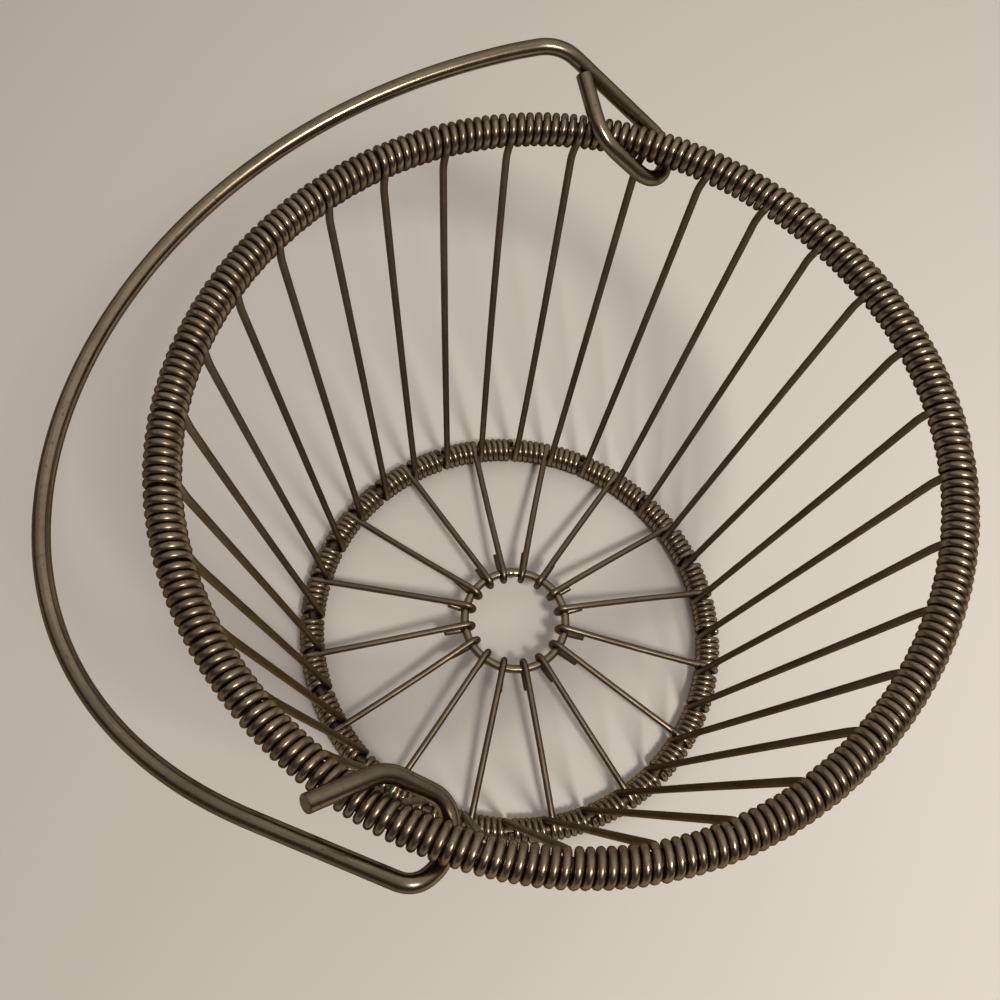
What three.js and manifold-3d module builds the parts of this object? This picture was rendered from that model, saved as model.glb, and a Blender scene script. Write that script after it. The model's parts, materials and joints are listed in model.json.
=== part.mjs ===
// A wire egg basket: two thick hoops, thirty-two ribs whose ends are wound round the hoops,
// sixteen floor spokes hooked round a centre ring, and a swinging bail with an eye at each end.
// Millimetres, +Z up. The origin is on the basket's axis, in the plane that it stands on.
import * as THREE from 'three';
import { mergeVertices } from 'three/addons/utils/BufferGeometryUtils.js';
import Module from 'manifold-3d';

// Wire diameters
const RIB_WIRE = 2.5;
const RIM_WIRE = 5.0;
const BASE_WIRE = 5.0;
const RING_WIRE = 3.5;
const BAIL_WIRE = 5.0;

// Hoops and centre ring, measured to the middle of their wire
const RIM_RADIUS = 110;
const BASE_RADIUS = 78;
const HOOP_SPACING = 157;
const RING_RADIUS = 19.2;
const SPOKE_RISE = 8.5;
const HOOK_TAIL = 8.5;

// Ribs: each spoke rib has a wall rib beside it, on its clockwise side as seen from above
const PAIR_COUNT = 16;
const FIRST_RIB_DEG = 15.4;
const RIM_TURNS = 1.75;
const SPOKE_RIB_TURNS = 0.75;
const WALL_RIB_TURNS = 1.25;

// Bail, folded down towards -X
const HINGE_OFFSET = 0.8;
const EYE_LENGTH = 29;
const EYE_INSIDE = 9.7;
const EYE_OUTSIDE = 9.8;
const EYE_BEND_RADIUS = 9.4;
const EYE_SHOULDER = 23.5;
const SHOULDER_BEND_RADIUS = 8;
const TAIL_REACH = 6;
const TAIL_END = 40.6;
const FAR_LEG = 50.6;
const FAR_LEG_SPLAY = 0.6;
const FAR_BEND_RADIUS = 14;
const NEAR_FOOT_OUT = 6;
const FOOT_BEND_RADIUS = 5;
const NEAR_CORNER_OUT = 13.2;
const NEAR_CORNER_UP = 4.8;
const NEAR_BEND_RADIUS = 6.5;
const BOW_NEAR_STRAIGHT = 44.5;
const BOW_NEAR_PULL = 129;
const BOW_NEAR_LEAN_DEG = 12.6;
const BOW_FAR_PULL = 143;
const BOW_FAR_LEAN_DEG = 14.7;
const BOW_DROOP_DEG = 11;

// Gaps between pieces that touch on the real basket, and depth of the flats worn under the foot
const CLEARANCE = 0.3;
const END_GAP = 0.6;
const FLAT_DEPTH = 0.5;

// Facets
const TURN_STEPS = 8;
const RIB_SIDES = 5;
const HOOP_SIDES = 8;
const RIM_STEPS = 64;
const BASE_STEPS = 48;
const RING_STEPS = 24;
const BAIL_SIDES = 8;
const BOW_STEPS = 28;
const BEND_STEP_DEG = 22.5;
const SAMPLES_PER_WIRE = 4;
const MERGE_DISTANCE = 1e-4;

// Angles in the section of a hoop: 0 is outside
const ON_TOP = 0.5 * Math.PI;
const INSIDE = Math.PI;
const UNDERNEATH = 1.5 * Math.PI;

// Sizes that follow from the ones above
const ribCount = 2 * PAIR_COUNT;
const ribStep = (2 * Math.PI) / ribCount;
const stepAngle = (2 * Math.PI) / TURN_STEPS;
const chordShrink = Math.cos(stepAngle / 2);
const ribFlat = (RIB_WIRE / 2) * Math.cos(Math.PI / RIB_SIDES);
const rimTurn = turnRadius(RIM_WIRE);
const baseTurn = turnRadius(BASE_WIRE);
const ringTurn = turnRadius(RING_WIRE);
const baseHeight = baseTurn + ribFlat - FLAT_DEPTH;
const rimHeight = baseHeight + HOOP_SPACING;
const spokeHeight = baseHeight + baseTurn + SPOKE_RISE;
const ringHeight = spokeHeight - ringTurn;
const eyeReach = rimTurn + ribFlat + CLEARANCE + BAIL_WIRE / 2;
const eyeTilt = Math.asin((2 * eyeReach) / EYE_LENGTH);
const hingeHeight = rimHeight - eyeReach;

const steel = new THREE.MeshStandardMaterial({ color: 0x857c70, roughness: 0.34, metalness: 1 });
const ribSteel = new THREE.MeshStandardMaterial({ color: 0x7a7166, roughness: 0.38, metalness: 1 });
const bailSteel = new THREE.MeshStandardMaterial({ color: 0x8c8377, roughness: 0.3, metalness: 1 });

const wasm = await Module();
wasm.setup();

// Distance from the middle of a core wire to the corners of a turn that clears it.
function turnRadius(coreWire) {
  return (coreWire / 2 + CLEARANCE) / chordShrink + RIB_WIRE / 2;
}

// A point given by its azimuth, its distance from the basket's axis and its height.
function polar(azimuth, radius, height) {
  return new THREE.Vector3(radius * Math.cos(azimuth), radius * Math.sin(azimuth), height);
}

// Joins rings of corners round a path into one closed tube.
// Each hint points away from what the wire lies on, and turns a flat side of the tube that way.
function sweepTube(path, hints, diameter, sides) {
  const positions = [];
  const triangles = [];
  path.forEach((point, i) => {
    const before = point.clone().sub(path[Math.max(i - 1, 0)]).normalize();
    const after = path[Math.min(i + 1, path.length - 1)].clone().sub(point).normalize();
    const tangent = before.add(after).normalize();
    const normal = hints[i].clone().addScaledVector(tangent, -hints[i].dot(tangent)).normalize();
    const side = tangent.clone().cross(normal);
    for (let k = 0; k < sides; k += 1) {
      const angle = ((k + 0.5) * 2 * Math.PI) / sides;
      const corner = point.clone();
      corner.addScaledVector(normal, (diameter / 2) * Math.cos(angle));
      corner.addScaledVector(side, (diameter / 2) * Math.sin(angle));
      positions.push(corner.x, corner.y, corner.z);
    }
  });
  for (let i = 0; i + 1 < path.length; i += 1) {
    for (let k = 0; k < sides; k += 1) {
      const a = i * sides + k;
      const b = i * sides + ((k + 1) % sides);
      triangles.push(a, b, a + sides, b, b + sides, a + sides);
    }
  }
  const last = (path.length - 1) * sides;
  for (let k = 1; k + 1 < sides; k += 1) {
    triangles.push(0, k + 1, k, last, last + k, last + k + 1);
  }
  const geometry = new THREE.BufferGeometry();
  geometry.setAttribute('position', new THREE.Float32BufferAttribute(positions, 3));
  geometry.setIndex(triangles);
  return geometry;
}

// Turns a closed geometry into a solid that can be cut.
function toSolid(geometry) {
  const bare = geometry.clone();
  bare.deleteAttribute('normal');
  bare.deleteAttribute('uv');
  const merged = mergeVertices(bare, MERGE_DISTANCE);
  const mesh = new wasm.Mesh({
    numProp: 3,
    vertProperties: new Float32Array(merged.attributes.position.array),
    triVerts: new Uint32Array(merged.index.array),
  });
  mesh.merge();
  return new wasm.Manifold(mesh);
}

function toGeometry(solid) {
  const mesh = solid.getMesh();
  const geometry = new THREE.BufferGeometry();
  geometry.setAttribute('position', new THREE.Float32BufferAttribute(mesh.vertProperties, 3));
  geometry.setIndex(Array.from(mesh.triVerts));
  return geometry;
}

// Everything below the plane that the basket stands on.
function groundSolid() {
  const width = 2 * (BASE_RADIUS + baseTurn + RIB_WIRE);
  const depth = baseTurn + RIB_WIRE;
  const box = new THREE.BoxGeometry(width, width, depth);
  box.translate(0, 0, -depth / 2);
  return toSolid(box);
}

// Appends the corners of a winding round a hoop. The azimuth runs evenly along with the section angle.
function addWinding(wire, hoop, azimuths, angles) {
  const steps = Math.round(Math.abs(angles[1] - angles[0]) / stepAngle);
  for (let i = 0; i <= steps; i += 1) {
    const azimuth = THREE.MathUtils.lerp(azimuths[0], azimuths[1], i / steps);
    const angle = THREE.MathUtils.lerp(angles[0], angles[1], i / steps);
    const centre = polar(azimuth, hoop.radius, hoop.height);
    const outward = polar(azimuth, Math.cos(angle), Math.sin(angle));
    wire.path.push(centre.addScaledVector(outward, hoop.turn));
    wire.hints.push(outward);
  }
}

// One rib, from its cut end at the rim to its lower end.
function ribWire(azimuth, isSpokeRib) {
  const wire = { path: [], hints: [] };
  const rim = { radius: RIM_RADIUS, height: rimHeight, turn: rimTurn };
  const base = { radius: BASE_RADIUS, height: baseHeight, turn: baseTurn };
  const ring = { radius: RING_RADIUS, height: ringHeight, turn: ringTurn };
  const rimSweep = ribStep - (RIB_WIRE + END_GAP) / (RIM_RADIUS - rimTurn);
  const baseSweep = ribStep - (RIB_WIRE + END_GAP) / (BASE_RADIUS - baseTurn);
  const baseTurns = isSpokeRib ? SPOKE_RIB_TURNS : WALL_RIB_TURNS;
  const lowEnd = azimuth - baseSweep;
  addWinding(wire, rim, [azimuth - rimSweep, azimuth], [INSIDE - 2 * Math.PI * RIM_TURNS, INSIDE]);
  addWinding(wire, base, [azimuth, lowEnd], [INSIDE, INSIDE + 2 * Math.PI * baseTurns]);
  if (isSpokeRib) {
    addWinding(wire, ring, [lowEnd, lowEnd], [ON_TOP, UNDERNEATH]);
    wire.path.push(polar(lowEnd, RING_RADIUS + HOOK_TAIL, ringHeight - ringTurn));
    wire.hints.push(new THREE.Vector3(0, 0, -1));
  }
  return wire;
}

// Rounds the corners of a run of straight stretches. Each corner has a point and a bend radius.
function roundedRun(corners) {
  const run = [corners[0].point.clone()];
  for (let i = 1; i + 1 < corners.length; i += 1) {
    const { point, radius } = corners[i];
    const back = corners[i - 1].point.clone().sub(point).normalize();
    const on = corners[i + 1].point.clone().sub(point).normalize();
    const turn = Math.PI - back.angleTo(on);
    const reach = radius * Math.tan(turn / 2);
    const middle = back.clone().add(on).normalize();
    const centre = point.clone().addScaledVector(middle, radius / Math.cos(turn / 2));
    const start = point.clone().addScaledVector(back, reach).sub(centre);
    const axis = start.clone().cross(point.clone().addScaledVector(on, reach).sub(centre)).normalize();
    const steps = Math.max(1, Math.ceil(turn / THREE.MathUtils.degToRad(BEND_STEP_DEG)));
    for (let k = 0; k <= steps; k += 1) {
      run.push(start.clone().applyAxisAngle(axis, (turn * k) / steps).add(centre));
    }
  }
  run.push(corners[corners.length - 1].point.clone());
  return run;
}

// A point of an eye: its place along the hinge line, out from the rim's middle, and up the eye.
function eyePoint(side, outward, up) {
  const y = side * (RIM_RADIUS + outward);
  const x = HINGE_OFFSET - up * Math.cos(eyeTilt);
  return new THREE.Vector3(x, y, hingeHeight + up * Math.sin(eyeTilt));
}

// The corners of an eye from the free end of its tail, over the rim and down inside it to the bottom.
function eyeCorners(side) {
  return [
    { point: eyePoint(side, TAIL_REACH, TAIL_END) },
    { point: eyePoint(side, -EYE_INSIDE, EYE_SHOULDER), radius: SHOULDER_BEND_RADIUS },
    { point: eyePoint(side, -EYE_INSIDE, 0), radius: EYE_BEND_RADIUS },
  ];
}

// The bail's path: the far eye and its leg, the bow, and the near eye.
// The bow is a curve and a straight stretch, in a plane that droops from the line between its two corners.
function bailPath() {
  const farCorner = eyePoint(1, EYE_OUTSIDE + FAR_LEG_SPLAY, FAR_LEG);
  const nearCorner = eyePoint(-1, NEAR_CORNER_OUT, NEAR_CORNER_UP);
  const across = farCorner.clone().sub(nearCorner).normalize();
  const level = new THREE.Vector3(0, 0, 1).cross(across).normalize();
  const droop = THREE.MathUtils.degToRad(BOW_DROOP_DEG);
  const rise = level.clone().multiplyScalar(Math.cos(droop));
  rise.addScaledVector(level.clone().cross(across), Math.sin(droop));
  const pulled = (corner, leanDeg, pull) => {
    const lean = THREE.MathUtils.degToRad(leanDeg);
    const point = corner.clone().addScaledVector(across, pull * Math.sin(lean));
    return point.addScaledVector(rise, pull * Math.cos(lean));
  };
  const curve = new THREE.CubicBezierCurve3(
    farCorner,
    pulled(farCorner, -BOW_FAR_LEAN_DEG, BOW_FAR_PULL),
    pulled(nearCorner, BOW_NEAR_LEAN_DEG, BOW_NEAR_STRAIGHT + BOW_NEAR_PULL),
    pulled(nearCorner, BOW_NEAR_LEAN_DEG, BOW_NEAR_STRAIGHT),
  );
  const bow = curve.getSpacedPoints(BOW_STEPS).slice(1);
  const farRun = roundedRun([
    ...eyeCorners(1),
    { point: eyePoint(1, EYE_OUTSIDE, 0), radius: EYE_BEND_RADIUS },
    { point: farCorner, radius: FAR_BEND_RADIUS },
    { point: bow[0] },
  ]);
  const nearRun = roundedRun([
    ...eyeCorners(-1),
    { point: eyePoint(-1, NEAR_FOOT_OUT, 0), radius: FOOT_BEND_RADIUS },
    { point: nearCorner, radius: NEAR_BEND_RADIUS },
    { point: bow[bow.length - 1] },
  ]);
  return [...farRun, ...bow.slice(1, -1), ...nearRun.reverse()];
}

// Hints for a free wire, carried along its path without twist.
function carriedHints(path) {
  const first = path[1].clone().sub(path[0]).normalize();
  const hints = [new THREE.Vector3(0, 0, 1).cross(first).normalize()];
  for (let i = 1; i < path.length; i += 1) {
    const from = path[i].clone().sub(path[i - 1]).normalize();
    const to = path[Math.min(i + 1, path.length - 1)].clone().sub(path[i]).normalize();
    const turn = new THREE.Quaternion();
    if (to.lengthSq() > 0) {
      turn.setFromUnitVectors(from, to);
    }
    hints.push(hints[i - 1].clone().applyQuaternion(turn));
  }
  return hints;
}

// Least clear distance between stretches of one wire that are more than a few diameters apart along it.
function leastSelfGap(path, diameter) {
  const spacing = diameter / SAMPLES_PER_WIRE;
  const samples = [];
  let travelled = 0;
  for (let i = 0; i + 1 < path.length; i += 1) {
    const length = path[i].distanceTo(path[i + 1]);
    const count = Math.ceil(length / spacing);
    for (let k = 0; k < count; k += 1) {
      const point = path[i].clone().lerp(path[i + 1], k / count);
      samples.push({ at: travelled + (length * k) / count, point });
    }
    travelled += length;
  }
  let least = Infinity;
  for (let i = 0; i < samples.length; i += 1) {
    for (let j = i + 1; j < samples.length; j += 1) {
      if (samples[j].at - samples[i].at > Math.PI * diameter) {
        least = Math.min(least, samples[i].point.distanceTo(samples[j].point));
      }
    }
  }
  return least - diameter;
}

function addPiece(group, name, geometry, material) {
  const mesh = new THREE.Mesh(geometry, material);
  mesh.name = name;
  group.add(mesh);
  return mesh;
}

function addHoop(group, name, radius, wire, height, steps) {
  const hoop = addPiece(group, name, new THREE.TorusGeometry(radius, wire / 2, HOOP_SIDES, steps), steel);
  hoop.position.z = height;
}

const basket = new THREE.Group();
addHoop(basket, 'rim_hoop', RIM_RADIUS, RIM_WIRE, rimHeight, RIM_STEPS);
addHoop(basket, 'base_hoop', BASE_RADIUS, BASE_WIRE, baseHeight, BASE_STEPS);
addHoop(basket, 'centre_ring', RING_RADIUS, RING_WIRE, ringHeight, RING_STEPS);

const ground = groundSolid();
for (let i = 0; i < ribCount; i += 1) {
  const isSpokeRib = i % 2 === 0;
  const azimuth = THREE.MathUtils.degToRad(FIRST_RIB_DEG) - i * ribStep;
  const number = String(Math.floor(i / 2) + 1).padStart(2, '0');
  const name = isSpokeRib ? `spoke_rib_${number}` : `wall_rib_${number}`;
  const wire = ribWire(azimuth, isSpokeRib);
  const tube = toSolid(sweepTube(wire.path, wire.hints, RIB_WIRE, RIB_SIDES));
  addPiece(basket, name, toGeometry(tube.subtract(ground)), ribSteel);
  console.log(`${name}: least gap to itself ${leastSelfGap(wire.path, RIB_WIRE).toFixed(2)} mm`);
}

const bail = bailPath();
addPiece(basket, 'bail_handle', sweepTube(bail, carriedHints(bail), BAIL_WIRE, BAIL_SIDES), bailSteel);

export default basket;
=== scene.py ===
import json
import math
import random

import bpy
import numpy as np
from mathutils import Matrix, Vector


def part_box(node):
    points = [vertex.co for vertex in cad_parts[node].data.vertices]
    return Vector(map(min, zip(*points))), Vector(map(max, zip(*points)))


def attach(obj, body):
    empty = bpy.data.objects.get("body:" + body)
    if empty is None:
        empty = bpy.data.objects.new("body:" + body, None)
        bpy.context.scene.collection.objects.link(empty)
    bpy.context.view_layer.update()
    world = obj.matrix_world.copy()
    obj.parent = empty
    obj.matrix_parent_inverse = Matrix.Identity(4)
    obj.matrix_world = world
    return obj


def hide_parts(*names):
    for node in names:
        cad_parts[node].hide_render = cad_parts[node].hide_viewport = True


# A wire egg basket: ribs wound close round two hoops, floor spokes hooked to a ring, and a swinging bail.
# Sizes are in millimetres, apart from the floor's and the lights'. Meshes are made in metres.
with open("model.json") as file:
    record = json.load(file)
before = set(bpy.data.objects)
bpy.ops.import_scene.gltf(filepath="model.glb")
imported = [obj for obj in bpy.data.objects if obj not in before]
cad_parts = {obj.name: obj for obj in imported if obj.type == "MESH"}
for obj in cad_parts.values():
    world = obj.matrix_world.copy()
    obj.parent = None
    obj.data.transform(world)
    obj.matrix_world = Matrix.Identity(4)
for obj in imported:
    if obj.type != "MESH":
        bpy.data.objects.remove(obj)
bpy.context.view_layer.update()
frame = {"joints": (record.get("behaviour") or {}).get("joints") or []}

MM = 0.001
TURN = 2 * math.pi

# Wire diameters
RIB_WIRE = 2.45
RIM_CORE_WIRE = 5.45
BASE_CORE_WIRE = 4.6
RING_WIRE = 3.25
BAIL_WIRE = 5.0

# Distance from the middle of a hoop's wire to the middle of what is wound or hooked round it
RIM_TURN = 3.98
BASE_TURN = 3.55
HOOK_TURN = 2.87

# Ribs: one in every two runs on as a floor spoke
PAIR_COUNT = 16
FIRST_RIB_DEG = 15.4
RIM_PITCH_DEG = 1.385
RIM_TURNS = 7.8
RIM_SIDESTEP_DEG = 0.45
SIDESTEP_LENGTH = 8
SIDESTEP_POWER = 1.7
BASE_PITCH_DEG = 1.72
SPOKE_BASE_PASSES = 6
WALL_BASE_TURNS = 5.71
EASE_TURNS = 0.3
HOOK_TAIL = 8.5
HOOK_CLOSING = 2.2
HOOK_CLOSING_POWER = 1.5

# How far hand work strays from even
PITCH_STRAY = 0.004
TURN_STRAY = 0.05
TURN_STRAY_WAVES = 0.37
SIDESTEP_SWAY_DEG = 0.28
SIDESTEP_SWAY_TOWARDS_DEG = 110
RIB_BOW = 0.45
SPOKE_BOW = 0.35
HOOK_STRAY_DEG = 1.2
TAIL_STRAY = 1.5
TAIL_SPLAY_DEG = 4.5
END_STRAY_TURNS = 0.05

# How far hoops are from round: the number of lobes, their size and the azimuth of one
RIM_LOBES = ((0, 0.45, 0), (1, 0.6, -30), (2, 0.95, 88), (4, 0.65, 22))
BASE_LOBES = ((1, 1.2, -20),)
RING_LOBES = ((0, 0.35, 0), (1, 1.1, -15))

# Weld in the centre ring
WELD_DEG = 110
WELD_SPREAD_DEG = 4.5
WELD_SWELL = 0.32
WELD_RIPPLE = 0.35
WELD_RIPPLE_RATE = 4

# Bail, folded down towards -X
EYE_LENGTH = 29
EYE_OUTSIDE = 9.8
EYE_BEND_RADIUS = 8.5
FAR_EYE = {"inside": 7.8, "shoulder": 25.4, "bend": 15.9, "tail_out": 7.6, "tail_up": 39.2}
NEAR_EYE = {"inside": 9.1, "shoulder": 23.4, "bend": 12.0, "tail_out": 5.9, "tail_up": 40.6}
FAR_LEG = 50.6
FAR_LEG_SPLAY = 0.6
FAR_BEND_RADIUS = 14
NEAR_FOOT_OUT = 6
FOOT_BEND_RADIUS = 5
NEAR_CORNER_OUT = 13.2
NEAR_CORNER_UP = 4.8
NEAR_BEND_RADIUS = 6.5
BOW_NEAR_STRAIGHT = 44.5
BOW_NEAR_PULL = 129
BOW_NEAR_LEAN_DEG = 12.6
BOW_FAR_PULL = 143
BOW_FAR_LEAN_DEG = 14.7
BOW_DROOP_DEG = 11
BOW_LEAD = 1 / 28

# Facets
STEPS_PER_TURN = 22
RIB_SIDES = 12
THICK_SIDES = 20
HOOP_STEPS = 240
RING_STEPS = 144
BEND_STEP_DEG = 7
BOW_SAMPLES = 800
BOW_SPACING = 1.6
BAIL_SPACING = 0.8
BAIL_EASING_PASSES = 3
STRAIGHT_SPACING = 8
STRAIGHT_LEAST_POINTS = 3
SIDESTEP_POINTS = 8
TAIL_POINTS = 5
CHAMFER = 0.22
SHARP_DEG = 35

# Layout for finishes: the margin and the disc of a cut end, as shares of a column
LAYOUT_MARGIN = 0.04
END_DISC_RADIUS = 0.4
END_DISC_HEIGHTS = (0.25, 0.75)

# Painted shade, as shares: on the side that lies on a hoop and on what faces down, and all round
# Windings: shade painted between the turns, on the side that lies on the hoop and on what faces down
WINDING_SHADE = (1.0, 0.0)
# Ribs' walls: shade painted all round, least where they face the near left
WALL_SHADE_MOST = 0.8
WALL_SHADE_LEAST = 0.3
WALL_SHADE_LEAST_TOWARDS_DEG = -115
# Spokes, hook tails and the hoops' cores: shade painted all round, and on hook tails also on the side that
# lies on the ring and underneath
SPOKE_SHADE = (0.0, 0.42)
HOOK_SHADE = (0.5, 0.5)
CORE_SHADE = (0.0, 0.9)
UNSHADED = (0.0, 0.0)

# Ranges of cosines in which the painted shade changes: towards the lightest part of the wall, towards the
# hoop that a turn lies on, and towards what faces down
WALL_SHADE_FADE = (0.2, 0.9)
HOOP_SIDE_FADE = (-0.2, 0.8)
UNDERSIDE_FADE = (-0.35, 0.45)

# Finishes: the steel where it is pale, tarnished, and grimy or in painted shade, and its least and most
# roughness
HOOP_STEEL = ((0.345, 0.276, 0.192, 1), (0.2, 0.154, 0.101, 1), (0.055, 0.04, 0.026, 1), 0.22, 0.33)
RIB_STEEL = ((0.345, 0.275, 0.191, 1), (0.2, 0.154, 0.101, 1), (0.055, 0.04, 0.026, 1), 0.22, 0.33)
BAIL_STEEL = ((0.3, 0.24, 0.165, 1), (0.18, 0.14, 0.092, 1), (0.045, 0.033, 0.022, 1), 0.17, 0.26)

# Share of the light that the steel throws back at its edges
EDGE_TINT = (0.3, 0.27, 0.22, 1)

# Noise in the finish: its scale, detail and roughness
PATCHES = (55.0, 4.0, 0.55)
MOTTLE = (420.0, 3.0, 0.55)
SPECKS = (900.0, 2.0, 0.55)
SCORES = (1.0, 3.0, 0.7)
SCORES_ROUND = 7.0
SCORES_ALONG = 60.0

# The range of each noise that shows
PATCH_RANGE = (0.35, 0.68)
MOTTLE_RANGE = (0.35, 0.7)
SCORE_RANGE = (0.35, 0.7)
SPECK_RANGE = (0.63, 0.72)
DULL_RANGE = (0.3, 0.7)

# What noise and the mask of painted shade add to the tarnish, the grime, the painted shade, the roughness
# and the relief
PATCH_TARNISH = (0.0, 0.6)
MOTTLE_TARNISH = (0.0, 0.25)
SCORE_TARNISH = (-0.12, 0.22)
SPECK_GRIME = (0.0, 0.55)
PAINTED_SHADE_STRENGTH = 0.8
SHELTER_ROUGHNESS = 0.18
SCORE_ROUGHNESS = (-0.04, 0.06)
SCORE_RELIEF = 0.35
SCORE_DEPTH = 0.03

# Floor, with its half width in metres
FLOOR_HALF = 6.0
FLOOR_COLOUR = (0.76, 0.71, 0.64, 1)
FLOOR_ROUGHNESS = 0.5
FLOOR_SPECULAR = 0.3

# Lights: place, aim and size in metres, spread in degrees, power in watts, and colour
KEY_LIGHT = ((0.63, -0.7, 1.62), (0.45, 0.05, 0), 0.3, 60, 2.75, (1.0, 0.96, 0.9))
OVERHEAD_LIGHT = ((0.3, 0.4, 1.5), (0, 0, 0), 1.8, 180, 3.0, (1.0, 0.97, 0.93))

# Room: the direction in which it is palest, where it turns from dark to pale, and both colours
ROOM_PALEST_TOWARDS = (0.0, 0.45, 0.89)
ROOM_FADE = (0.25, 0.5)
ROOM_DARK = (0.075, 0.068, 0.06, 1)
ROOM_PALE = (0.42, 0.4, 0.37, 1)

# Camera: its place, its direction and a focal length in pixels of the square image
CAMERA_PLACE = (-2.854, -159.223, 458.8)
VIEW_AZIMUTH_DEG = 4.65
VIEW_ELEVATION_DEG = 65.123
VIEW_ROLL_DEG = 13.839
FOCAL_PIXELS = 1216.7
IMAGE_PIXELS = 1000
SENSOR = 36
CLIP_START = 10

rng = random.Random(7)


class Hoop:
    """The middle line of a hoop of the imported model, in millimetres, with how far it is from round."""

    def __init__(self, node, lobes):
        low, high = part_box(node)
        wire = high.z - low.z
        self.radius = ((high.x - low.x) - wire) / 2 / MM
        self.height = (high.z + low.z) / 2 / MM
        self.lobes = lobes

    def radius_at(self, azimuths):
        strays = [
            size * np.cos(count * (azimuths - math.radians(towards)))
            for count, size, towards in self.lobes
        ]
        return self.radius + sum(strays)


rim = Hoop("rim_hoop", RIM_LOBES)
base = Hoop("base_hoop", BASE_LOBES)
ring = Hoop("centre_ring", RING_LOBES)
hinge = Vector(frame["joints"][0]["pos_m"]) / MM
eye_tilt = math.asin(2 * (rim.height - hinge.z) / EYE_LENGTH)
wall_tilt = math.atan2(rim.radius - base.radius, rim.height - base.height)
wall_angle = math.pi - wall_tilt
spoke_run = base.radius - ring.radius
spoke_slope = math.atan2(ring.height + HOOK_TURN - base.height - BASE_TURN, spoke_run)
rib_step = TURN / (2 * PAIR_COUNT)


def stray(amount):
    """A random amount either way."""
    return rng.uniform(-amount, amount)


def smoothstep(low, high, values):
    """From 0 at the low value to 1 at the high one, with soft ends."""
    share = np.clip((values - low) / (high - low), 0, 1)
    return share * share * (3 - 2 * share)


def polar(azimuths, radii, heights):
    """Points given by azimuth, distance from the basket's axis and height."""
    columns = (radii * np.cos(azimuths), radii * np.sin(azimuths), heights + 0 * azimuths)
    return np.stack(columns, axis=1)


def unit(vectors):
    return vectors / np.linalg.norm(vectors, axis=1, keepdims=True)


def unit_tangents(path):
    steps = unit(np.diff(path, axis=0))
    return unit(np.concatenate([steps[:1], steps[:-1] + steps[1:], steps[-1:]]))


class Wire:
    """A wire's path, with the direction away from what it lies on and its shares of painted shade at each
    point.
    """

    def __init__(self):
        self.points = []
        self.hints = []
        self.grime_and_shade = []

    def add(self, points, hints, grime_and_shade):
        self.points.append(points)
        self.hints.append(np.broadcast_to(hints, points.shape))
        self.grime_and_shade.append(np.tile(grime_and_shade, (len(points), 1)))

    def joined(self):
        return np.concatenate(self.points), np.concatenate(self.hints), np.concatenate(self.grime_and_shade)


def eased(turns):
    """Pitches gained after so many turns. The first part of a turn swings over from a straight run."""
    return np.where(turns < EASE_TURNS, turns**2 / (2 * EASE_TURNS), turns - EASE_TURNS / 2)


def around_hoop(hoop, turn, azimuths, angles):
    """Points round a hoop's wire and their outward directions. Angle 0 is outside, a quarter on top."""
    outward = polar(azimuths, np.cos(angles), np.sin(angles))
    return polar(azimuths, hoop.radius_at(azimuths), hoop.height) + outward * turn, outward


def straight_run(start, end, bow):
    """Points between two ends, which they leave out, bowed sideways by a little at the middle."""
    length = np.linalg.norm(end - start)
    count = max(STRAIGHT_LEAST_POINTS, int(length / STRAIGHT_SPACING))
    shares = np.linspace(0, 1, count)[1:-1, None]
    sideways = np.cross(end - start, start - [0, 0, start[2]])
    sideways = sideways / np.linalg.norm(sideways)
    return start + (end - start) * shares + sideways * bow * 4 * shares * (1 - shares)


def rim_winding(azimuth):
    """From below the top of a rib, with a step sideways, then round the rim clockwise to the cut end."""
    turns = np.linspace(0, RIM_TURNS + stray(END_STRAY_TURNS), int(RIM_TURNS * STEPS_PER_TURN))
    pitch = math.radians(RIM_PITCH_DEG) * (1 + stray(PITCH_STRAY))
    turn = RIM_TURN + TURN_STRAY * np.sin(turns * TURN * TURN_STRAY_WAVES + stray(math.pi))
    sway = math.cos(azimuth - math.radians(SIDESTEP_SWAY_TOWARDS_DEG))
    sidestep = math.radians(RIM_SIDESTEP_DEG + SIDESTEP_SWAY_DEG * sway)
    azimuths = azimuth - sidestep - pitch * turns
    points, hints = around_hoop(rim, turn[:, None], azimuths, wall_angle - TURN * turns)
    below = np.linspace(SIDESTEP_LENGTH, 0, SIDESTEP_POINTS)[:-1]
    shares = (1 - below / SIDESTEP_LENGTH) ** SIDESTEP_POWER
    steps = azimuth - sidestep * shares
    inside = around_hoop(rim, RIM_TURN, steps, np.full(len(steps), wall_angle))[0]
    lead = inside - polar(steps, math.sin(wall_tilt), math.cos(wall_tilt)) * below[:, None]
    return lead, points, hints


def base_winding(azimuth, is_spoke):
    """From the foot of a rib, under the base hoop and round it clockwise, and how far round that goes."""
    if is_spoke:
        last_angle = TURN * SPOKE_BASE_PASSES + math.pi / 2 - spoke_slope
        total = (last_angle - wall_angle) / TURN
    else:
        total = WALL_BASE_TURNS + stray(END_STRAY_TURNS)
    turns = np.linspace(0, total, int(total * STEPS_PER_TURN))
    pitch = math.radians(BASE_PITCH_DEG) * (1 + stray(PITCH_STRAY))
    gained = eased(turns)
    if is_spoke:
        gained = gained - np.maximum(turns - total + EASE_TURNS, 0) ** 2 / (2 * EASE_TURNS)
    sweep = pitch * gained
    points, hints = around_hoop(base, BASE_TURN, azimuth - sweep, wall_angle + TURN * turns)
    return points, hints, sweep[-1]


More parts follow.
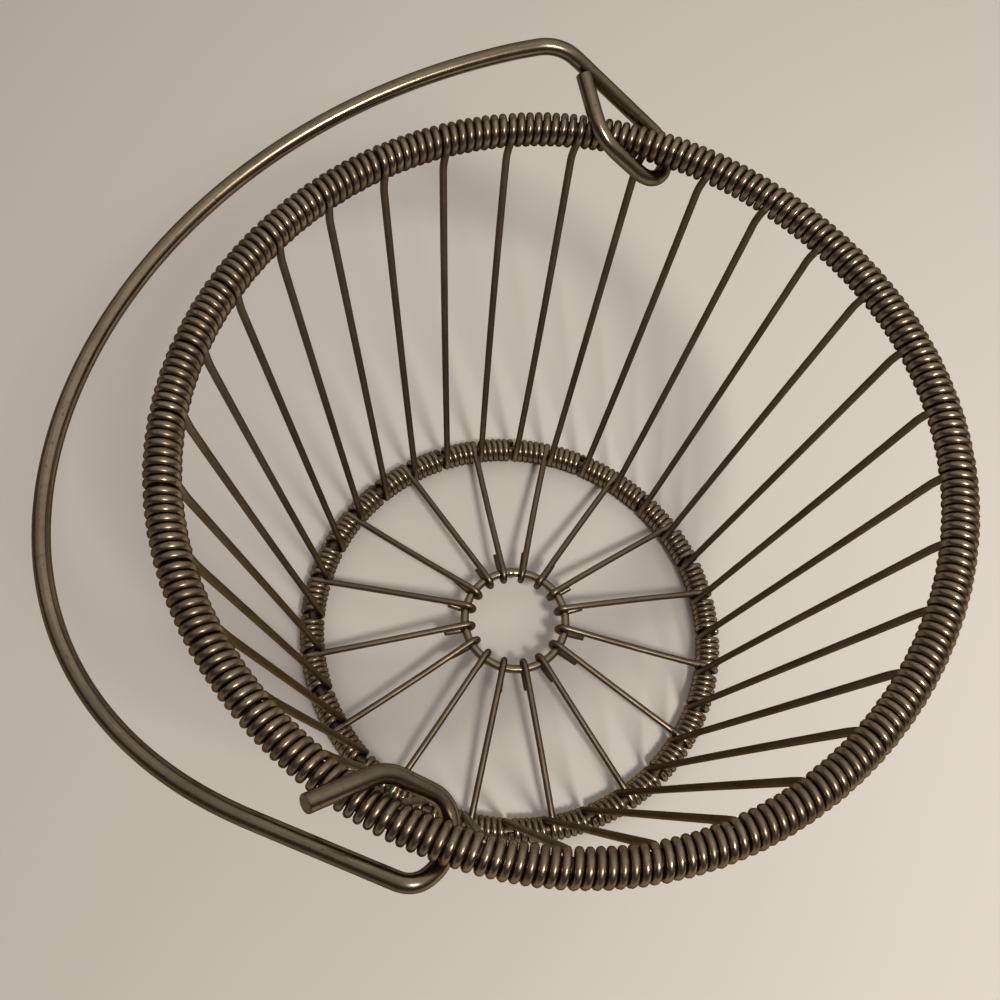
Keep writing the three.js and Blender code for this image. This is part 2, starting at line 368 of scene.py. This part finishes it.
def hook(azimuth):
    """Over the centre ring, round its inner side and back out under the spoke to a cut end."""
    azimuth = azimuth + math.radians(stray(HOOK_STRAY_DEG))
    first = math.pi / 2 - spoke_slope
    angles = np.linspace(first, first + math.pi, STEPS_PER_TURN // 2)
    points, outward = around_hoop(ring, HOOK_TURN, np.full(len(angles), azimuth), angles)
    splay = azimuth + math.radians(stray(TAIL_SPLAY_DEG))
    away = polar(np.array([splay]), math.cos(spoke_slope), -math.sin(spoke_slope))[0]
    reach = np.linspace(0, HOOK_TAIL + stray(TAIL_STRAY), TAIL_POINTS)[1:, None]
    closing = (reach / HOOK_TAIL) ** HOOK_CLOSING_POWER * [0, 0, HOOK_CLOSING]
    tail = points[-1] + reach * away + closing
    tail_hints = np.tile(outward[-1], (len(tail), 1))
    return np.concatenate([points, tail]), np.concatenate([outward, tail_hints])


def rib_wire(index):
    """The whole path of one rib, from its cut end on the rim to its lower end."""
    azimuth = math.radians(FIRST_RIB_DEG) - index * rib_step
    is_spoke = index % 2 == 0
    wire = Wire()
    lead, rim_points, rim_hints = rim_winding(azimuth)
    base_points, base_hints, sweep = base_winding(azimuth, is_spoke)
    wall = straight_run(lead[0], base_points[0], stray(RIB_BOW))
    # The wall's painted shade, lightest where it faces the near left
    away = azimuth - math.radians(WALL_SHADE_LEAST_TOWARDS_DEG)
    lighter = smoothstep(*WALL_SHADE_FADE, math.cos(away))
    wall_shade = (0.0, WALL_SHADE_MOST + (WALL_SHADE_LEAST - WALL_SHADE_MOST) * lighter)
    wire.add(rim_points[::-1], rim_hints[::-1], WINDING_SHADE)
    wire.add(lead[::-1], rim_hints[0], wall_shade)
    wire.add(wall, rim_hints[0], wall_shade)
    wire.add(base_points, base_hints, WINDING_SHADE)
    if is_spoke:
        hook_points, hook_hints = hook(azimuth - sweep)
        spoke = straight_run(base_points[-1], hook_points[0], stray(SPOKE_BOW))
        wire.add(spoke, base_hints[-1], SPOKE_SHADE)
        wire.add(hook_points, hook_hints, HOOK_SHADE)
    return wire


def rounded_run(corners):
    """Points along straight stretches with rounded corners. Each corner is a point and a bend radius."""
    run = [corners[0][0]]
    for (before, _), (point, radius), (after, _) in zip(corners, corners[1:], corners[2:]):
        back = (before - point).normalized()
        on = (after - point).normalized()
        bend = math.pi - back.angle(on)
        centre = point + (back + on).normalized() * (radius / math.cos(bend / 2))
        start = point + back * (radius * math.tan(bend / 2)) - centre
        axis = start.cross(point - centre).normalized()
        steps = max(2, math.ceil(math.degrees(bend) / BEND_STEP_DEG))
        for k in range(steps + 1):
            run.append(Matrix.Rotation(bend * k / steps, 3, axis) @ start + centre)
    run.append(corners[-1][0])
    return run


def eye_point(side, outward, up):
    """A point of an eye: its end of the hinge line, its distance out from the rim, and up the eye."""
    across = side * (rim.radius + outward)
    return Vector((hinge.x - up * math.cos(eye_tilt), across, hinge.z + up * math.sin(eye_tilt)))


def eye_corners(side, shape):
    """An eye from the free end of its tail, over the rim and down inside it to the bottom."""
    return [
        (eye_point(side, shape["tail_out"], shape["tail_up"]), 0),
        (eye_point(side, -shape["inside"], shape["shoulder"]), shape["bend"]),
        (eye_point(side, -shape["inside"], 0), EYE_BEND_RADIUS),
    ]


def bow_curve(far_corner, near_corner):
    """The curve of the bow, in a plane that droops from the line between its corners.

    It ends where the straight stretch to the near corner begins.
    """
    across = (far_corner - near_corner).normalized()
    level = Vector((0, 0, 1)).cross(across).normalized()
    droop = math.radians(BOW_DROOP_DEG)
    rise = level * math.cos(droop) + level.cross(across) * math.sin(droop)

    def pulled(corner, lean_deg, pull):
        lean = math.radians(lean_deg)
        return corner + (across * math.sin(lean) + rise * math.cos(lean)) * pull

    start = np.array(far_corner)
    first_pull = np.array(pulled(far_corner, -BOW_FAR_LEAN_DEG, BOW_FAR_PULL))
    last_pull = np.array(pulled(near_corner, BOW_NEAR_LEAN_DEG, BOW_NEAR_STRAIGHT + BOW_NEAR_PULL))
    end = np.array(pulled(near_corner, BOW_NEAR_LEAN_DEG, BOW_NEAR_STRAIGHT))
    t = np.linspace(0, 1, BOW_SAMPLES)[:, None]
    leaving = start * (1 - t) ** 3 + first_pull * 3 * t * (1 - t) ** 2
    return leaving + last_pull * 3 * t**2 * (1 - t) + end * t**3


def resampled(points, spacing):
    """The same path at even steps."""
    steps = np.linalg.norm(np.diff(points, axis=0), axis=1)
    places = np.concatenate([[0], np.cumsum(steps)])
    wanted = np.linspace(0, places[-1], max(2, round(places[-1] / spacing) + 1))
    return np.stack([np.interp(wanted, places, points[:, k]) for k in range(3)], axis=1)


def relaxed(points, passes):
    """The path with its small kinks eased, as a bent wire has none."""
    for _ in range(passes):
        inner = (points[:-2] + 2 * points[1:-1] + points[2:]) / 4
        points = np.concatenate([points[:1], inner, points[-1:]])
    return points


def bail_path():
    """The whole bail, from the free end of its far eye round the bow to that of its near eye."""
    far_corner = eye_point(1, EYE_OUTSIDE + FAR_LEG_SPLAY, FAR_LEG)
    near_corner = eye_point(-1, NEAR_CORNER_OUT, NEAR_CORNER_UP)
    curve = resampled(bow_curve(far_corner, near_corner), BOW_SPACING)
    lead = round(len(curve) * BOW_LEAD)
    bow = [Vector(point) for point in curve[lead:]]
    far_run = rounded_run([
        *eye_corners(1, FAR_EYE),
        (eye_point(1, EYE_OUTSIDE, 0), EYE_BEND_RADIUS),
        (far_corner, FAR_BEND_RADIUS),
        (bow[0], 0),
    ])
    near_run = rounded_run([
        *eye_corners(-1, NEAR_EYE),
        (eye_point(-1, NEAR_FOOT_OUT, 0), FOOT_BEND_RADIUS),
        (near_corner, NEAR_BEND_RADIUS),
        (bow[-1], 0),
    ])
    whole = np.array([*far_run, *bow[1:-1], *reversed(near_run)])
    return relaxed(resampled(whole, BAIL_SPACING), BAIL_EASING_PASSES)


def carried_hints(path):
    """Hints for a free wire, carried along its path without twist."""
    tangents = unit_tangents(path)
    hint = np.cross([0, 0, 1], tangents[0])
    hints = []
    for tangent in tangents:
        hint = hint - tangent * (hint @ tangent)
        hint = hint / np.linalg.norm(hint)
        hints.append(hint)
    return np.array(hints)


def with_cut_ends(path, hints, grime_and_shade, radii):
    """Adds a small bevel at each end of a wire that was cut across."""
    tangents = unit_tangents(path)
    after_start = path[:1] + tangents[:1] * CHAMFER
    before_end = path[-1:] - tangents[-1:] * CHAMFER
    path = np.concatenate([path[:1], after_start, path[1:-1], before_end, path[-1:]])
    repeat = np.concatenate([[0], np.arange(len(hints)), [len(hints) - 1]])
    radii = radii[repeat].copy()
    radii[[0, -1]] -= CHAMFER
    return path, hints[repeat], grime_and_shade[repeat], radii


def quad_corners(left, right, low, high):
    """The four corners of quads, in order round each."""
    corners = ((left, low), (right, low), (right, high), (left, high))
    return np.stack([np.stack(corner, -1) for corner in corners], axis=2)


def strip_uv(lengths, sides):
    """A layout with no overlaps: a tube's side, cut open and laid in columns, and a column for its ends.

    Returns the places of the corners of each quad, and of the points round each end.
    """
    total = lengths[-1]
    columns = max(1, round(math.sqrt(total / (TURN * RIB_WIRE / 2))))
    middles = (lengths[:-1] + lengths[1:]) / 2
    column = np.minimum((middles / total * columns).astype(int), columns - 1)
    starts = np.array([lengths[:-1][column == k].min() for k in range(columns)])
    tallest = max(lengths[1:][column == k].max() - starts[k] for k in range(columns))
    room = 1 - 2 * LAYOUT_MARGIN
    low = LAYOUT_MARGIN + room * (lengths[:-1] - starts[column]) / tallest
    high = LAYOUT_MARGIN + room * (lengths[1:] - starts[column]) / tallest
    left = LAYOUT_MARGIN + room * np.arange(sides) / sides
    right = LAYOUT_MARGIN + room * np.arange(1, sides + 1) / sides
    u0 = (column[:, None] + left) / (columns + 1)
    u1 = (column[:, None] + right) / (columns + 1)
    v0 = np.broadcast_to(low[:, None], u0.shape)
    v1 = np.broadcast_to(high[:, None], u0.shape)
    angles = TURN * np.arange(sides) / sides
    disc = np.stack([np.cos(angles), np.sin(angles)], axis=1) * END_DISC_RADIUS / (columns + 1)
    ends = [disc + [(columns + 0.5) / (columns + 1), height] for height in END_DISC_HEIGHTS]
    return quad_corners(u0, u1, v0, v1), ends


def wire_uv(lengths, sides):
    """The place of each quad's corners round the wire, as a share, and along it, in metres."""
    quads = len(lengths) - 1
    along = np.broadcast_to(lengths[:, None], (len(lengths), sides)) * MM
    round_share = np.broadcast_to(np.arange(sides + 1) / sides, (quads, sides + 1))
    return quad_corners(round_share[:, :-1], round_share[:, 1:], along[:-1], along[1:])


def tube(name, path, hints, grime_and_shade, radii, sides, closed=False):
    """A mesh object round a path in millimetres, with its layouts for finishes and its mask of painted
    shade.
    """
    if closed:
        path = np.concatenate([path, path[:1]])
        hints = np.concatenate([hints, hints[:1]])
        grime_and_shade = np.concatenate([grime_and_shade, grime_and_shade[:1]])
        radii = np.concatenate([radii, radii[:1]])
        steps = np.diff(np.concatenate([path[-2:-1], path, path[1:2]]), axis=0)
        tangents = unit(unit(steps[:-1]) + unit(steps[1:]))
    else:
        path, hints, grime_and_shade, radii = with_cut_ends(path, hints, grime_and_shade, radii)
        tangents = unit_tangents(path)
    normals = unit(hints - tangents * np.sum(hints * tangents, axis=1, keepdims=True))
    sideways = np.cross(tangents, normals)
    angles = TURN * np.arange(sides) / sides
    spread = normals[:, None] * np.cos(angles)[:, None] + sideways[:, None] * np.sin(angles)[:, None]
    points = path[:, None] + spread * radii[:, None, None]
    points[..., 2] = np.maximum(points[..., 2], 0)
    # Painted shade: between turns on the side that faces the hoop, on what faces down, and all round
    by_hoop = smoothstep(*HOOP_SIDE_FADE, -np.cos(angles))
    from_above = smoothstep(*UNDERSIDE_FADE, -spread[..., 2])
    painted_shade = np.maximum(grime_and_shade[:, :1] * np.maximum(by_hoop, from_above), grime_and_shade[:, 1:])
    lengths = np.concatenate([[0], np.cumsum(np.linalg.norm(np.diff(path, axis=0), axis=1))])

    rings = len(path) - 1 if closed else len(path)
    quads = len(path) - 1
    first = np.arange(quads)[:, None] * sides
    second = (np.arange(1, quads + 1) % rings)[:, None] * sides
    here = np.arange(sides)
    after = (here + 1) % sides
    corners = np.stack([first + here, first + after, second + after, second + here], axis=2)
    faces = corners.reshape(-1, 4).tolist()
    layout, ends = strip_uv(lengths, sides)
    bake_places = [layout.reshape(-1, 2)]
    wire_places = [wire_uv(lengths, sides).reshape(-1, 2)]
    if not closed:
        faces.append(here[::-1].tolist())
        faces.append(((rings - 1) * sides + here).tolist())
        bake_places += [ends[0][::-1], ends[1]]
        wire_places += [np.stack([here / sides, 0 * here], axis=1)] * 2

    mesh = bpy.data.meshes.new(name)
    mesh.from_pydata((points[:rings].reshape(-1, 3) * MM).tolist(), [], faces)
    for layer, places in (("OFBake", bake_places), ("wire", wire_places)):
        data = mesh.uv_layers.new(name=layer)
        data.data.foreach_set("uv", np.concatenate(places).astype(np.float32).ravel())
    painted_shade_layer = mesh.attributes.new("painted_shade", "FLOAT", "POINT")
    painted_shade_layer.data.foreach_set("value", painted_shade[:rings].astype(np.float32).ravel())
    mesh.shade_smooth()
    mesh.set_sharp_from_angle(angle=math.radians(SHARP_DEG))
    mesh.update()
    piece = bpy.data.objects.new(name, mesh)
    bpy.context.scene.collection.objects.link(piece)
    return piece


def hoop_tube(name, hoop, wire, steps, grime_and_shade, swell=0):
    """A closed hoop. A swell is the bead of the weld where its ends meet."""
    azimuths = TURN * np.arange(steps) / steps
    path = polar(azimuths, hoop.radius_at(azimuths), hoop.height)
    hints = polar(azimuths, 1, 0)
    apart = (azimuths - math.radians(WELD_DEG) + math.pi) % TURN - math.pi
    apart = apart / math.radians(WELD_SPREAD_DEG)
    bead = np.exp(-(apart**2))
    ripple = 1 + WELD_RIPPLE * np.cos(apart * WELD_RIPPLE_RATE)
    radii = wire / 2 + swell * bead * ripple
    return tube(name, path, hints, np.tile(grime_and_shade, (steps, 1)), radii, THICK_SIDES, closed=True)


def add_node(tree, kind, settings=None, inputs=None):
    """A shader node with its settings, and its inputs set to values or linked to sockets."""
    node = tree.nodes.new(kind)
    for key, value in (settings or {}).items():
        setattr(node, key, value)
    for key, value in (inputs or {}).items():
        if isinstance(value, bpy.types.NodeSocket):
            tree.links.new(value, node.inputs[key])
        else:
            node.inputs[key].default_value = value
    return node


def maths(tree, operation, first, second=0.0):
    """A sum or the like of one or two values."""
    return add_node(tree, "ShaderNodeMath", {"operation": operation}, {0: first, 1: second}).outputs[0]


def mixed(tree, factor, first, second):
    """A blend of two colours, which are inputs 6 and 7 and output 2 of its node."""
    settings = {"data_type": "RGBA", "clamp_factor": True}
    return add_node(tree, "ShaderNodeMix", settings, {0: factor, 6: first, 7: second}).outputs[2]


def ranged(tree, value, low, high, new_low, new_high):
    """A value taken from one range to another."""
    inputs = {0: value, 1: low, 2: high, 3: new_low, 4: new_high}
    return add_node(tree, "ShaderNodeMapRange", None, inputs).outputs[0]


def noise(tree, vector, scale, detail, roughness):
    inputs = {"Vector": vector, "Scale": scale, "Detail": detail, "Roughness": roughness}
    return add_node(tree, "ShaderNodeTexNoise", None, inputs).outputs[0]


def drawn_scores(tree):
    """Fine lines along a wire, as drawing through a die leaves. They join up round the wire."""
    place = add_node(tree, "ShaderNodeUVMap", {"uv_map": "wire"}).outputs[0]
    parts = add_node(tree, "ShaderNodeSeparateXYZ", None, {0: place})
    angle = maths(tree, "MULTIPLY", parts.outputs[0], TURN)
    inputs = {
        0: maths(tree, "MULTIPLY", maths(tree, "COSINE", angle), SCORES_ROUND),
        1: maths(tree, "MULTIPLY", maths(tree, "SINE", angle), SCORES_ROUND),
        2: maths(tree, "MULTIPLY", parts.outputs[1], SCORES_ALONG),
    }
    vector = add_node(tree, "ShaderNodeCombineXYZ", None, inputs).outputs[0]
    return noise(tree, vector, *SCORES)


def wire_material(name, pale, dark, grime_and_shade, smooth, rough):
    """Drawn steel wire: fine scores, patches of tarnish, specks of grime, and painted shade between turns,
    underneath and all round.
    """
    material = bpy.data.materials.new(name)
    material.use_nodes = True
    tree = material.node_tree
    shader = tree.nodes["Principled BSDF"]
    place = add_node(tree, "ShaderNodeTexCoord").outputs["Object"]
    painted_shade = add_node(tree, "ShaderNodeAttribute", {"attribute_name": "painted_shade"}).outputs["Fac"]
    scores = drawn_scores(tree)
    patches = noise(tree, place, *PATCHES)
    mottle = noise(tree, place, *MOTTLE)
    specks = noise(tree, place, *SPECKS)

    patch_tarnish = ranged(tree, patches, *PATCH_RANGE, *PATCH_TARNISH)
    mottle_tarnish = ranged(tree, mottle, *MOTTLE_RANGE, *MOTTLE_TARNISH)
    score_tarnish = ranged(tree, scores, *SCORE_RANGE, *SCORE_TARNISH)
    tarnish = maths(tree, "ADD", maths(tree, "ADD", patch_tarnish, mottle_tarnish), score_tarnish)
    speck_grime = ranged(tree, specks, *SPECK_RANGE, *SPECK_GRIME)
    # Painted shade pulls the colour towards the dark grime colour where its mask is set; the specks are
    # grime
    painted_shade_share = maths(tree, "MULTIPLY", painted_shade, PAINTED_SHADE_STRENGTH)
    grime_and_shade_share = maths(tree, "MAXIMUM", speck_grime, painted_shade_share)
    colour = mixed(tree, grime_and_shade_share, mixed(tree, tarnish, pale, dark), grime_and_shade)

    patch_dull = ranged(tree, patches, *DULL_RANGE, smooth, rough)
    shelter_dull = maths(tree, "MULTIPLY", painted_shade, SHELTER_ROUGHNESS)
    score_dull = ranged(tree, scores, *DULL_RANGE, *SCORE_ROUGHNESS)
    dull = maths(tree, "ADD", maths(tree, "ADD", patch_dull, shelter_dull), score_dull)
    relief = {"Strength": SCORE_RELIEF, "Distance": SCORE_DEPTH * MM, "Height": scores}
    bump = add_node(tree, "ShaderNodeBump", None, relief)

    shader.inputs["Metallic"].default_value = 1.0
    shader.inputs["Specular Tint"].default_value = EDGE_TINT
    tree.links.new(colour, shader.inputs["Base Color"])
    tree.links.new(dull, shader.inputs["Roughness"])
    tree.links.new(bump.outputs[0], shader.inputs["Normal"])
    return material


def dress(piece, body, node, material):
    """Puts a finished piece on its body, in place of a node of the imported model."""
    piece.data.materials.append(material)
    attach(piece, body)
    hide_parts(node)


def make_hoops():
    hoop_steel = wire_material("hoop_steel", *HOOP_STEEL)
    for name, hoop, wire in (("rim_hoop", rim, RIM_CORE_WIRE), ("base_hoop", base, BASE_CORE_WIRE)):
        piece = hoop_tube(name + "_wire", hoop, wire, HOOP_STEPS, CORE_SHADE)
        dress(piece, "basket", name, hoop_steel)
    centre = hoop_tube("centre_ring_wire", ring, RING_WIRE, RING_STEPS, UNSHADED, WELD_SWELL)
    dress(centre, "basket", "centre_ring", hoop_steel)


def make_ribs():
    rib_steel = wire_material("rib_steel", *RIB_STEEL)
    for index in range(2 * PAIR_COUNT):
        kind = "spoke_rib" if index % 2 == 0 else "wall_rib"
        node = f"{kind}_{index // 2 + 1:02d}"
        path, hints, grime_and_shade = rib_wire(index).joined()
        piece = tube(node + "_wire", path, hints, grime_and_shade, np.full(len(path), RIB_WIRE / 2), RIB_SIDES)
        dress(piece, "basket", node, rib_steel)


def make_bail():
    bail_steel = wire_material("bail_steel", *BAIL_STEEL)
    path = bail_path()
    piece = tube("bail_handle_wire", path, carried_hints(path), np.tile(UNSHADED, (len(path), 1)),
                 np.full(len(path), BAIL_WIRE / 2), THICK_SIDES)
    dress(piece, "bail", "bail_handle", bail_steel)


def make_floor():
    """A plain pale table top."""
    half = FLOOR_HALF
    corners = [(-half, -half, 0), (half, -half, 0), (half, half, 0), (-half, half, 0)]
    mesh = bpy.data.meshes.new("floor")
    mesh.from_pydata(corners, [], [(0, 1, 2, 3)])
    floor = bpy.data.objects.new("floor", mesh)
    bpy.context.scene.collection.objects.link(floor)
    material = bpy.data.materials.new("pale_floor")
    material.use_nodes = True
    shader = material.node_tree.nodes["Principled BSDF"]
    shader.inputs["Base Color"].default_value = FLOOR_COLOUR
    shader.inputs["Roughness"].default_value = FLOOR_ROUGHNESS
    shader.inputs["Specular IOR Level"].default_value = FLOOR_SPECULAR
    mesh.materials.append(material)


def add_light(name, place, aim, size, spread_deg, power, colour):
    """A square soft light, in metres. A smaller spread makes its beam narrower."""
    light = bpy.data.lights.new(name, "AREA")
    light.shape = "SQUARE"
    light.size = size
    light.spread = math.radians(spread_deg)
    light.energy = power
    light.color = colour
    holder = bpy.data.objects.new(name, light)
    holder.location = place
    holder.rotation_mode = "QUATERNION"
    holder.rotation_quaternion = (Vector(place) - Vector(aim)).to_track_quat("Z", "Y")
    bpy.context.scene.collection.objects.link(holder)


def make_light():
    """A key light high on the near right, a weak wide one overhead, and a room that is palest above."""
    add_light("key", *KEY_LIGHT)
    add_light("overhead", *OVERHEAD_LIGHT)
    world = bpy.data.worlds.new("room")
    world.use_nodes = True
    tree = world.node_tree
    place = add_node(tree, "ShaderNodeTexCoord").outputs["Generated"]
    inputs = {0: place, 1: ROOM_PALEST_TOWARDS}
    dot = add_node(tree, "ShaderNodeVectorMath", {"operation": "DOT_PRODUCT"}, inputs)
    share = ranged(tree, dot.outputs["Value"], *ROOM_FADE, 0.0, 1.0)
    colour = mixed(tree, share, ROOM_DARK, ROOM_PALE)
    tree.links.new(colour, tree.nodes["Background"].inputs["Color"])
    bpy.context.scene.world = world


def make_camera():
    """A camera that looks down into the basket, rolled about its own axis."""
    azimuth = math.radians(VIEW_AZIMUTH_DEG)
    elevation = math.radians(VIEW_ELEVATION_DEG)
    level = math.cos(elevation)
    back = Vector((math.sin(azimuth) * level, -math.cos(azimuth) * level, math.sin(elevation)))
    level_right = Vector((math.cos(azimuth), math.sin(azimuth), 0))
    level_up = back.cross(level_right)
    roll = math.radians(VIEW_ROLL_DEG)
    right = level_right * math.cos(roll) + level_up * math.sin(roll)
    up = back.cross(right)
    data = bpy.data.cameras.new("camera")
    data.sensor_width = SENSOR
    data.lens = FOCAL_PIXELS / IMAGE_PIXELS * SENSOR
    data.clip_start = CLIP_START * MM
    camera = bpy.data.objects.new("camera", data)
    turned = Matrix((right, up, back)).transposed().to_4x4()
    camera.matrix_world = Matrix.Translation(Vector(CAMERA_PLACE) * MM) @ turned
    bpy.context.scene.collection.objects.link(camera)
    bpy.context.scene.camera = camera


make_camera()
make_hoops()
make_ribs()
make_bail()
make_floor()
make_light()
bpy.context.scene.view_settings.view_transform = "Standard"
